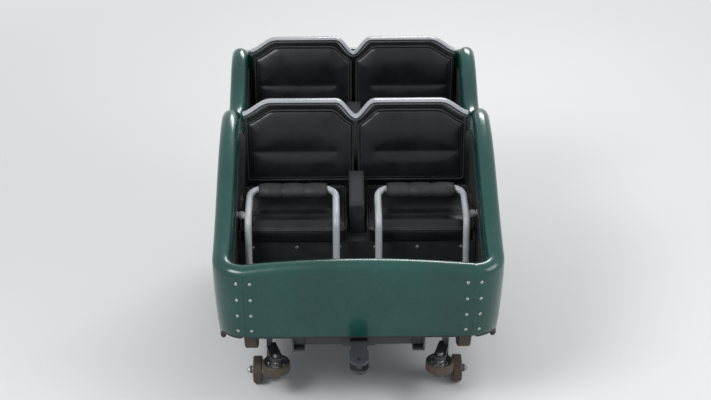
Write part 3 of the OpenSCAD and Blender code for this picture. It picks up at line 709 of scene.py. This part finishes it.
class Kit:
    """Collects small shapes in one mesh, which then becomes one piece."""

    def __init__(self):
        self.bm = bmesh.new()

    def rings(self, rings, closed=False):
        """Skins over rings of points; a ring of one point is a pole."""
        made = [[self.bm.verts.new(point) for point in ring] for ring in rings]
        pairs = list(zip(made, made[1:] + made[:1])) if closed else list(zip(made, made[1:]))
        for a, b in pairs:
            count = max(len(a), len(b))
            for k in range(count):
                corners = [a[k % len(a)], a[(k + 1) % len(a)], b[(k + 1) % len(b)], b[k % len(b)]]
                self.bm.faces.new(list(dict.fromkeys(corners)))

    def lathe(self, place, axis, profile, sides=16):
        """Turns a profile of (radius, height) pairs about an axis."""
        axis = Vector(axis).normalized()
        u = axis.orthogonal().normalized()
        v = axis.cross(u)
        rings = []
        for radius, height in profile:
            middle = Vector(place) + axis * height
            if radius == 0.0:
                rings.append([middle])
                continue
            turns = [2 * math.pi * k / sides for k in range(sides)]
            rings.append([middle + radius * (math.cos(t) * u + math.sin(t) * v) for t in turns])
        self.rings(rings)

    def hex_bolt(self, place, axis, size):
        """Washer and chamfered hexagon head; size is half the width over its corners."""
        rim = 1.3 * size
        self.lathe(place, axis, [(0.0, -0.001), (rim, -0.001), (rim, 0.15 * size), (0.0, 0.16 * size)], 18)
        top = 0.85 * size
        head = [(0.0, 0.0), (size, 0.0), (size, top - 0.12 * size), (0.88 * size, top), (0.0, top)]
        self.lathe(place, axis, head, 6)

    def screw(self, place, axis, size):
        """Low domed head with a socket in its middle."""
        profile = [
            (0.0, -0.001), (size, -0.001), (size, 0.08 * size), (0.86 * size, 0.22 * size),
            (0.62 * size, 0.32 * size), (0.40 * size, 0.35 * size), (0.36 * size, 0.12 * size),
            (0.0, 0.10 * size),
        ]
        self.lathe(place, axis, profile, 14)

    def tube(self, points, radius, closed=False, sides=8):
        """A round tube along points, with flat ends if it isn't closed."""
        rings = []
        count = len(points)
        up = Vector((0.0, 0.0, 1.0))
        for i, point in enumerate(points):
            before = points[i - 1] if closed or i > 0 else point
            after = points[(i + 1) % count] if closed or i < count - 1 else point
            along = (after - before).normalized()
            if abs(along.dot(up)) > NEARLY_PARALLEL:
                up = Vector((0.0, 1.0, 0.0)) if abs(along.y) < 0.9 else Vector((1.0, 0.0, 0.0))
            across = along.cross(up).normalized()
            up = across.cross(along).normalized()
            turns = [2 * math.pi * k / sides for k in range(sides)]
            rings.append([point + radius * (math.cos(t) * across + math.sin(t) * up) for t in turns])
        if not closed:
            rings = [[points[0]]] + rings + [[points[-1]]]
        self.rings(rings, closed)

    def stitched(self, master, matrix, path):
        """A row of stitches on a pad's front, along a closed flat path."""
        vertices = [vertex.co for vertex in master.data.vertices]
        tree = BVHTree.FromPolygons(vertices, [polygon.vertices for polygon in master.data.polygons])
        for a, b in zip(path, path[1:] + path[:1]):
            count = max(1, round((b - a).length / STITCH_PITCH))
            for k in range(count):
                ends = []
                for part in STITCH_ENDS:
                    flat = a + (b - a) * (k + part) / count
                    place, _, _, _ = tree.ray_cast(Vector((flat.x, flat.y, 1.0)), Vector((0, 0, -1)))
                    if place:
                        ends.append(matrix @ (place + Vector((0, 0, STITCH_RADIUS / 2))))
                if len(ends) == 2:
                    self.tube(ends, STITCH_RADIUS, sides=4)

    def slab(self, low, high, edge=0.003):
        """A block with chamfered edges."""
        a, b = Vector(low), Vector(high)
        rings = []
        for z, inset in ((a.z, edge), (a.z + edge, 0.0), (b.z - edge, 0.0), (b.z, edge)):
            x0, x1, y0, y1 = a.x + inset, b.x - inset, a.y + inset, b.y - inset
            rings.append([Vector(p) for p in (
                (x0 + edge, y0, z), (x1 - edge, y0, z), (x1, y0 + edge, z), (x1, y1 - edge, z),
                (x1 - edge, y1, z), (x0 + edge, y1, z), (x0, y1 - edge, z), (x0, y0 + edge, z),
            )])
        middle = (a + b) / 2
        self.rings([[Vector((middle.x, middle.y, a.z))]] + rings + [[Vector((middle.x, middle.y, b.z))]])

    def finish(self, name, material, body=BODY, slot="coupling_steel", crisp=38.0):
        """Makes the piece: smooth faces, with crisp edges where they turn sharply."""
        bmesh.ops.recalc_face_normals(self.bm, faces=self.bm.faces)
        limit = math.radians(crisp)
        for face in self.bm.faces:
            face.smooth = True
        for edge in self.bm.edges:
            edge.smooth = edge.calc_face_angle(0.0) < limit
        mesh = bpy.data.meshes.new(name)
        self.bm.to_mesh(mesh)
        self.bm.free()
        piece = new_object(name, mesh, material)
        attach(piece, body)
        return piece


# Rays start well outside the car: below it, above it or beyond its ends
BELOW, ABOVE, BEYOND = 0.0, 2.0, 1.5
TREES = {}


def surface(node, start, direction):
    """Where a ray first meets a CAD node, and the node's normal there."""
    if node not in TREES:
        mesh = frame["nodes"][node].data
        TREES[node] = BVHTree.FromPolygons(
            [vertex.co for vertex in mesh.vertices], [polygon.vertices for polygon in mesh.polygons]
        )
    place, normal, _, _ = TREES[node].ray_cast(Vector(start), Vector(direction))
    return place, normal


def spread(low, high, count):
    return [low + (high - low) * k / (count - 1) for k in range(count)]


# Screws of the body: sizes, the row along the skirts, those beside each seat back as
# height and distance behind the row, and those along the seams of the panels
SMALL_SCREW = 0.008
LARGE_SCREW = 0.010
SKIRT_SCREW_REACH = 0.770
SKIRT_SCREW_Z = 0.462
SHOULDER_SCREWS = [(0.980, 0.090), (1.120, 0.115)]
SEAM_SCREW_INSET = 0.032
SEAM_SCREW_LOW = 0.560

# Panels: name, end of the car, corner's radius, wall's thickness, highest seam screw
PANELS = [
    ("nose_panel", -1, FRONT_CORNER, SIDE_WALL, 0.830),
    ("tail_panel", 1, REAR_CORNER, TAIL_WALL, 1.110),
]


def body_screws():
    """Screws that hold the walls to the frame and to each other."""
    kit = Kit()
    for side, wall in SIDES:
        for y in spread(-SKIRT_SCREW_REACH, SKIRT_SCREW_REACH, 8):
            kit.screw(*surface(wall, (side, y, SKIRT_SCREW_Z), (-side, 0, 0)), SMALL_SCREW)
        for row in ROWS:
            for z, behind in SHOULDER_SCREWS:
                kit.screw(*surface(wall, (side, ROW_Y[row] + behind, z), (-side, 0, 0)), LARGE_SCREW)
    for panel, end, corner, _, top in PANELS:
        seam = HALF_WIDTH - corner
        for side, wall in SIDES:
            for node, x in ((panel, seam - SEAM_SCREW_INSET), (wall, seam + SEAM_SCREW_INSET)):
                for z in spread(SEAM_SCREW_LOW, top, 4):
                    start = (side * x, BEYOND * end, z)
                    kit.screw(*surface(node, start, (0, -end, 0)), SMALL_SCREW)
    kit.finish("body_screws", BOLT)


def outline_path(inset, side, corner_steps=10, side_steps=60):
    """Points along a side wall in from its outer face, from the nose panel to the tail panel."""
    points = []
    for end, corner in ((-1, FRONT_CORNER), (1, REAR_CORNER)):
        arc = []
        for k in range(corner_steps + 1):
            turn = math.radians(90 - 90 * k / corner_steps)
            radius = corner - inset
            arc.append((HALF_WIDTH - corner + radius * math.cos(turn),
                        end * (HALF_LENGTH - corner + radius * math.sin(turn))))
        if end < 0:
            straight = spread(-HALF_LENGTH + FRONT_CORNER, HALF_LENGTH - REAR_CORNER, side_steps)
            points += arc + [(HALF_WIDTH - inset, y) for y in straight[1:-1]]
        else:
            points += reversed(arc)
    return [(side * x, y) for x, y in points]


EDGING_INSET = 0.031
EDGING_RADIUS = 0.0105
WELT_INSET = 0.003
WELT_RADIUS = 0.0045
WELT_LIFT = Vector((0, 0, 0.001))
PANEL_END_GAP = 0.002


def edge_trims():
    """Rubber edging under the walls, and a welt along the top of the inner lining."""
    edging, welt = Kit(), Kit()
    up, down = (0, 0, 1), (0, 0, -1)
    for side, wall in SIDES:
        edging_path = outline_path(EDGING_INSET, side)[1:-1]
        under = [surface(wall, (x, y, BELOW), up)[0] for x, y in edging_path]
        edging.tube([point for point in under if point], EDGING_RADIUS)
        # The welt stops ahead of the rear corner, where the wall thins
        welt_path = outline_path(SIDE_WALL + WELT_INSET, side)[1:-12]
        over = [surface(wall, (x, y, ABOVE), down)[0] for x, y in welt_path]
        welt.tube([point + WELT_LIFT for point in over if point], WELT_RADIUS)
    for panel, end, corner, wall, _ in PANELS:
        half = HALF_WIDTH - corner - PANEL_END_GAP
        for kit, inset, height, way, radius in (
            (edging, EDGING_INSET, BELOW, up, EDGING_RADIUS),
            (welt, wall + WELT_INSET, ABOVE, down, WELT_RADIUS),
        ):
            y = end * (HALF_LENGTH - inset)
            line = [surface(panel, (x, y, height), way)[0] for x in spread(-half, half, 24)]
            kit.tube([point for point in line if point], radius)
    edging.finish("edge_trim", TRIM, slot="divider_plastic", crisp=60.0)
    welt.finish("lining_welt", PIPING, slot="upholstery", crisp=60.0)


# Floor mats: where each row's begins and where both end, ahead of the row
MAT_FRONT = {"front": 0.790, "rear": 0.750}
MAT_REAR = 0.415
MAT_HALF = 0.172
MAT_BOTTOM = FLOOR_TOP + 0.0005
MAT_TOP = FLOOR_TOP + 0.006
RIB_TOP = FLOOR_TOP + 0.0095
RIB_PITCH = 0.022
RIB_HALF = 0.004
RIB_END_GAP = 0.012
MAT_SCREW = 0.006
MAT_SCREW_INSET = 0.020


def floor_mats():
    """Ribbed rubber mats in the footwells, and the screws at their corners."""
    mats, screws = Kit(), Kit()
    for row in ROWS:
        front, rear = ROW_Y[row] - MAT_FRONT[row], ROW_Y[row] - MAT_REAR
        ribs = spread(front + RIB_END_GAP, rear - RIB_END_GAP, int((rear - front) / RIB_PITCH))
        for side in (-1, 1):
            low, high = side * SEAT_X - MAT_HALF, side * SEAT_X + MAT_HALF
            mats.slab((low, front, MAT_BOTTOM), (high, rear, MAT_TOP), edge=0.002)
            for y in ribs:
                start = (low + RIB_END_GAP, y - RIB_HALF, MAT_TOP - 0.001)
                mats.slab(start, (high - RIB_END_GAP, y + RIB_HALF, RIB_TOP), edge=0.0015)
            for x in (low + MAT_SCREW_INSET, high - MAT_SCREW_INSET):
                for y in (front + MAT_SCREW_INSET, rear - MAT_SCREW_INSET):
                    screws.screw((x, y, RIB_TOP), (0, 0, 1), MAT_SCREW)
    mats.finish("floor_mats", MAT, slot="floor_plate")
    screws.finish("mat_screws", BOLT)


# Bolts of the seats: on the riser of a base, and on the rear of a shell, as x and z
RISER_OFFSET = 0.400
RISER_BOLT_X = [-0.520, -0.300, -0.090, 0.090, 0.300, 0.520]
RISER_BOLT_Z = [0.575, 0.735]
SHELL_BOLT_X = [-0.450, -0.160, 0.160, 0.450]
SHELL_BOLT_Z = [0.820, 1.100]
RISER_BOLT = 0.008
SHELL_BOLT = 0.009
HINGE_NUT = 0.015
HINGE_PIN_END = 0.032

# Piping round a divider: the middle from which rays find its edge, in height and behind
# its front, how far out they start, and how far in from the side the piping runs
DIVIDER_MIDDLE_Z = 0.860
DIVIDER_MIDDLE_Y = 0.15
DIVIDER_REACH = 0.6
DIVIDER_INSET = 0.0015
DIVIDER_PIPING = 0.004


def seat_fittings():
    """Bolts on the seat bases and shells, piping on the dividers, the hinge pins' nuts."""
    bolts, piping = Kit(), Kit()
    for row in ROWS:
        row_y = ROW_Y[row]
        for x in RISER_BOLT_X:
            for z in RISER_BOLT_Z:
                bolts.hex_bolt((x, row_y - RISER_OFFSET, z), (0, -1, 0), RISER_BOLT)
        for x in SHELL_BOLT_X:
            for z in SHELL_BOLT_Z:
                behind = (x, row_y + 0.5, z)
                bolts.hex_bolt(*surface(row + "_seat_back", behind, (0, -1, 0)), SHELL_BOLT)
        low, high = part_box(row + "_divider")
        for side in (-1, 1):
            x = side * (high.x - DIVIDER_INSET)
            # The rays run a little further in, so that they meet the edge and not the side
            middle = Vector((0.98 * x, low.y + DIVIDER_MIDDLE_Y, DIVIDER_MIDDLE_Z))
            edge = []
            for turn in spread(0.0, math.pi, 40):
                way = Vector((0.0, -math.cos(turn), math.sin(turn)))
                place, _ = surface(row + "_divider", middle + DIVIDER_REACH * way, -way)
                if place:
                    edge.append(Vector((x, place.y, place.z)))
            piping.tube(edge, DIVIDER_PIPING)
    for seat in CORNERS:
        for side in (-1, 1):
            out = side * (BAR_SPAN / 2 + HINGE_PIN_END)
            place = Vector(hinge_of(seat)) + Vector((out, 0, 0))
            bolts.hex_bolt(place, (side, 0, 0), HINGE_NUT)
    bolts.finish("seat_bolts", BOLT)
    piping.finish("divider_piping", PIPING, slot="divider_plastic", crisp=60.0)


def stadium(half_straight, radius, steps=10):
    """Points round a slot's outline, as y and z."""
    points = []
    for side in (1, -1):
        for k in range(steps + 1):
            turn = math.pi * k / steps - side * math.pi / 2
            points.append((side * half_straight + radius * math.cos(turn), radius * math.sin(turn)))
    return points


# Grip sleeves: panels and rings of each, radius, how far they stand out from it at the
# seams and between them, and the seams' place and radius
SLEEVE_PANELS = 3
SLEEVE_RINGS = 12
SLEEVE = 0.0290
SEAM_LIFT = 0.0004
PANEL_LIFT = 0.0012
PANEL_PUFF = 0.0042
SEAM_MIDDLE = SLEEVE + 0.0006
SEAM_RADIUS = 0.0016


def grip_pads():
    """Stitched foam sleeves on the lap bars, puffed between their seams."""
    for seat in CORNERS:
        sleeve, seams = Kit(), Kit()
        middle = Vector(hinge_of(seat)) + GRIP_PLACE
        end = Vector((GRIP_HALF + 0.002, 0, 0))
        rings = [[middle - end]]
        count = SLEEVE_PANELS * SLEEVE_RINGS
        for k in range(count + 1):
            part = (k % SLEEVE_RINGS) / SLEEVE_RINGS
            puff = PANEL_LIFT + PANEL_PUFF * math.sin(math.pi * part) ** 0.7 if part > 0 else SEAM_LIFT
            x = -GRIP_HALF + 2 * GRIP_HALF * k / count
            rings.append([middle + Vector((x, y, z)) for y, z in stadium(GRIP_SPREAD, SLEEVE + puff)])
            if part == 0:
                loop = [middle + Vector((x, y, z)) for y, z in stadium(GRIP_SPREAD, SEAM_MIDDLE)]
                seams.tube(loop, SEAM_RADIUS, closed=True, sides=6)
        rings.append([middle + end])
        sleeve.rings(rings)
        bar = seat + "_lap_bar"
        sleeve.finish(seat + "_grip_pad", GRIP, bar, "divider_plastic", 75.0)
        seams.finish(seat + "_grip_seams", PIPING, bar, "divider_plastic", 75.0)


# Release knobs: radius, and place from the middle of the car and the row
KNOB_RADIUS = 0.0205
KNOB_X = 0.5715
KNOB_AHEAD = 0.360
KNOB_Z = 0.900


def release_knobs():
    """A round knob on the wall beside each rider, which frees the lap bar."""
    knobs, stems = Kit(), Kit()
    turns = [math.radians(angle) for angle in range(20, 161, 14)]
    ball = [(0.0, -KNOB_RADIUS)] + [(KNOB_RADIUS * math.sin(t), -KNOB_RADIUS * math.cos(t)) for t in turns]
    ball += [(0.0, KNOB_RADIUS)]
    stem = [(0.0, 0.0), (0.019, 0.0), (0.019, 0.003), (0.009, 0.004), (0.008, 0.008), (0.0, 0.009)]
    for seat in CORNERS:
        side = side_of(seat)
        y = ROW_Y[row_of(seat)] - KNOB_AHEAD
        knobs.lathe((side * KNOB_X, y, KNOB_Z), (side, 0, 0), ball, 24)
        stems.lathe((side * LINING_FACE, y, KNOB_Z), (-side, 0, 0), stem)
    knobs.finish("release_knobs", KNOB, slot="bar_paint")
    stems.finish("knob_stems", BOLT)


# Wheels: name, tread radius, half width, hub's half width, bore radius, bolts, bolt size.
# The nuts and the thread past them are told as shares of the bore's radius.
WHEEL_SIZES = [
    ("road", 0.140, 0.032, 0.036, 0.020, 8, 0.007),
    ("guide", 0.070, 0.025, 0.027, 0.012, 6, 0.0045),
    ("upstop", 0.070, 0.023, 0.026, 0.012, 6, 0.0045),
]
WEB_SHARE = 0.4
BOLT_CIRCLE = 0.56
PIN_END = 0.014
PIN_NUT = 1.15
THREAD_RADIUS = 0.42
THREAD_LENGTH = 1.5
GUIDE_PIN_END = 0.032
GUIDE_NUT = 1.2


def wheel_fittings():
    """Bolts and bearing covers on both sides of the wheels, and the nuts on their pins."""
    nuts = Kit()
    for corner in CORNERS:
        side = side_of(corner)
        for wheel, tread, half, hub_half, bore, count, size in WHEEL_SIZES:
            name = corner + "_" + wheel + "_wheel"
            joint = JOINTS[name + "_turn"]
            centre, axis = Vector(joint["pos_m"]), Vector(joint["axis"])
            u = axis.orthogonal().normalized()
            v = axis.cross(u)
            cover = [
                (bore + 0.001, hub_half - 0.001), (bore + 0.001, hub_half + 0.0015),
                (bore + 0.009, hub_half + 0.0015), (bore + 0.011, hub_half - 0.001),
            ]
            kit = Kit()
            for out in (axis, -axis):
                for turn in spread(0.0, 2 * math.pi, count + 1)[:-1]:
                    arm = math.cos(turn) * u + math.sin(turn) * v
                    kit.hex_bolt(centre + out * WEB_SHARE * half + arm * BOLT_CIRCLE * tread, out, size)
                kit.lathe(centre, out, cover, 28)
            kit.finish(name + "_bolts", BOLT, name)
            if wheel == "guide":
                for up in (-1, 1):
                    place = centre + Vector((0, 0, up * (hub_half + GUIDE_PIN_END)))
                    nuts.hex_bolt(place, (0, 0, up), GUIDE_NUT * bore)
            else:
                place = centre + Vector((side * (hub_half + PIN_END), 0, 0))
                radius, length = THREAD_RADIUS * bore, THREAD_LENGTH * bore
                thread = [(0.0, 0.0), (radius, 0.0), (radius, length), (0.0, length)]
                nuts.hex_bolt(place, (side, 0, 0), PIN_NUT * bore)
                nuts.lathe(place, (side, 0, 0), thread, 12)
    nuts.finish("wheel_nuts", BOLT)


# Chassis: the axle beams' flanges, and the bolts and welds on the frame
FLANGE_X = 0.424
FLANGE_BOLT_Y = 0.049
FLANGE_BOLT_Z = 0.018
BEAM_HALF = 0.041
OUTRIGGER_Y = [-0.880, -0.340, 0.0, 0.340, 0.880]
OUTRIGGER_BOLT_X = 0.580
OUTRIGGER_BOLT_Z = 0.5115
CLEVIS_HALF = 0.041
FLANGE_BOLT = 0.008
OUTRIGGER_BOLT = 0.009
DRAWBAR_PIN_HEAD = 0.014
WELD_RADIUS = 0.0035

# Upright welds of the cross members and the outriggers: places along the frame, half a
# member's width, the face of the sill, and the weld's lowest and highest point
WELD_LINES = [
    ([-0.880, -0.340, 0.340, 0.830], 0.031, 0.2595, 0.436, 0.497),
    (OUTRIGGER_Y, 0.0255, 0.3205, 0.470, 0.526),
]


def chassis_fittings():
    """Flange bolts, weld beads and the heads of the coupling pin."""
    bolts, welds = Kit(), Kit()
    square = [(1, 1), (-1, 1), (-1, -1), (1, -1)]
    for corner in CORNERS:
        side = side_of(corner)
        axle_y = -AXLE_Y if corner.startswith("front") else AXLE_Y
        for y, z in square:
            place = (side * FLANGE_X, axle_y + y * FLANGE_BOLT_Y, AXLE_Z + z * FLANGE_BOLT_Z)
            bolts.hex_bolt(place, (-side, 0, 0), FLANGE_BOLT)
        ring = [(axle_y + y * BEAM_HALF, AXLE_Z + z * BEAM_HALF) for y, z in square]
        ring = [Vector((side * FLANGE_X, y, z)) for y, z in ring]
        welds.tube(ring, WELD_RADIUS, closed=True, sides=6)
    for places, half, x, low, high in WELD_LINES:
        for y in places:
            for side, edge in square:
                foot = Vector((side * x, y + edge * half, low))
                head = Vector((side * x, y + edge * half, high))
                welds.tube(spread(foot, head, 6), WELD_RADIUS, sides=6)
    for y in OUTRIGGER_Y:
        for side in (-1, 1):
            place = (side * OUTRIGGER_BOLT_X, y, OUTRIGGER_BOLT_Z)
            bolts.hex_bolt(place, (0, 0, -1), OUTRIGGER_BOLT)
    for up in (-1, 1):
        place = (0, DRAWBAR_PIN_Y, COUPLING_Z + up * CLEVIS_HALF)
        bolts.hex_bolt(place, (0, 0, up), DRAWBAR_PIN_HEAD)
    bolts.finish("chassis_bolts", BOLT)
    welds.finish("weld_beads", WELD, slot="chassis_paint", crisp=80.0)


dress_car()
add_seats()
body_screws()
edge_trims()
floor_mats()
seat_fittings()
grip_pads()
release_knobs()
wheel_fittings()
chassis_fittings()


# Studio

# Lights: name, place, width and height, and power in watts; all aim at the car's middle
LIGHT_AIM = Vector((0.0, 0.0, 0.8))
LIGHTS = [
    ("key", (-3.2, -3.6, 5.2), (2.6, 2.0), 260.0),
    ("fill", (4.4, -2.0, 3.4), (3.0, 2.4), 110.0),
    ("rim", (1.2, 5.0, 4.6), (3.0, 1.6), 200.0),
]
AMBIENT = (0.86, 0.90, 0.95)
AMBIENT_STRENGTH = 0.55

# The floor fades into the backdrop between these distances from the car's middle
FADE_FROM, FADE_TO = 2.2, 7.0


def look_at(obj, target):
    obj.rotation_euler = (target - obj.location).to_track_quat("-Z", "Y").to_euler()


def area_light(name, place, size, watts):
    light = bpy.data.lights.new(name, "AREA")
    light.shape = "RECTANGLE"
    light.size, light.size_y = size
    light.energy = watts
    obj = bpy.data.objects.new(name, light)
    bpy.context.scene.collection.objects.link(obj)
    obj.location = place
    look_at(obj, LIGHT_AIM)


def camera_or_gloss(tree):
    """1 for what the camera sees, directly or in a glossy surface."""
    path = tree.nodes.new("ShaderNodeLightPath")
    either = tree.nodes.new("ShaderNodeMath")
    either.operation = "MAXIMUM"
    tree.links.new(path.outputs["Is Camera Ray"], either.inputs[0])
    tree.links.new(path.outputs["Is Glossy Ray"], either.inputs[1])
    return either.outputs[0]


def studio_floor():
    """Pale floor that takes the car's shadow and fades into the backdrop further out."""
    g = Graph("studio_floor")
    g.colour(g.mix(g.noise(0.6, 3.0), (0.62, 0.62, 0.62), (0.66, 0.66, 0.66)))
    g.set(Roughness=0.85)
    length = g.add("VectorMath")
    length.operation = "LENGTH"
    g.link(g.coords, length.inputs[0])
    distance = g.ramp(length.outputs["Value"], 0.0, 1.0, FADE_FROM, FADE_TO)
    far = g.math("MULTIPLY", distance, camera_or_gloss(g.tree))
    glow = g.add("Emission", Color=(*BACKDROP, 1.0))
    blend = g.add("MixShader")
    g.link(far, blend.inputs["Fac"])
    g.link(g.shader.outputs[0], blend.inputs[1])
    g.link(glow.outputs[0], blend.inputs[2])
    g.link(blend.outputs[0], g.tree.nodes["Material Output"].inputs["Surface"])
    return g.material


def add_camera():
    camera = bpy.data.cameras.new("camera")
    camera.lens = CAMERA_LENS_MM
    eye = bpy.data.objects.new("camera", camera)
    bpy.context.scene.collection.objects.link(eye)
    eye.location = CAMERA_PLACE
    look_at(eye, CAMERA_AIM)
    bpy.context.scene.camera = eye
    bpy.context.scene.view_settings.view_transform = "Standard"


def add_floor():
    mesh = bpy.data.meshes.new("studio_floor")
    corners = [(x * FLOOR_REACH, y * FLOOR_REACH, 0.0) for x, y in ((-1, -1), (1, -1), (1, 1), (-1, 1))]
    mesh.from_pydata(corners, [], [(0, 1, 2, 3)])
    new_object("studio_floor", mesh, studio_floor())


def add_world():
    """Pale sky light, with the backdrop's colour where the camera or gloss sees it."""
    world = bpy.data.worlds.new("studio")
    world.use_nodes = True
    tree = world.node_tree
    ambient = tree.nodes["Background"]
    ambient.inputs["Color"].default_value = (*AMBIENT, 1.0)
    ambient.inputs["Strength"].default_value = AMBIENT_STRENGTH
    seen = tree.nodes.new("ShaderNodeBackground")
    seen.inputs["Color"].default_value = (*BACKDROP, 1.0)
    choice = tree.nodes.new("ShaderNodeMixShader")
    tree.links.new(camera_or_gloss(tree), choice.inputs["Fac"])
    tree.links.new(ambient.outputs[0], choice.inputs[1])
    tree.links.new(seen.outputs[0], choice.inputs[2])
    tree.links.new(choice.outputs[0], tree.nodes["World Output"].inputs["Surface"])
    bpy.context.scene.world = world


add_camera()
add_floor()
add_world()
for light in LIGHTS:
    area_light(*light)
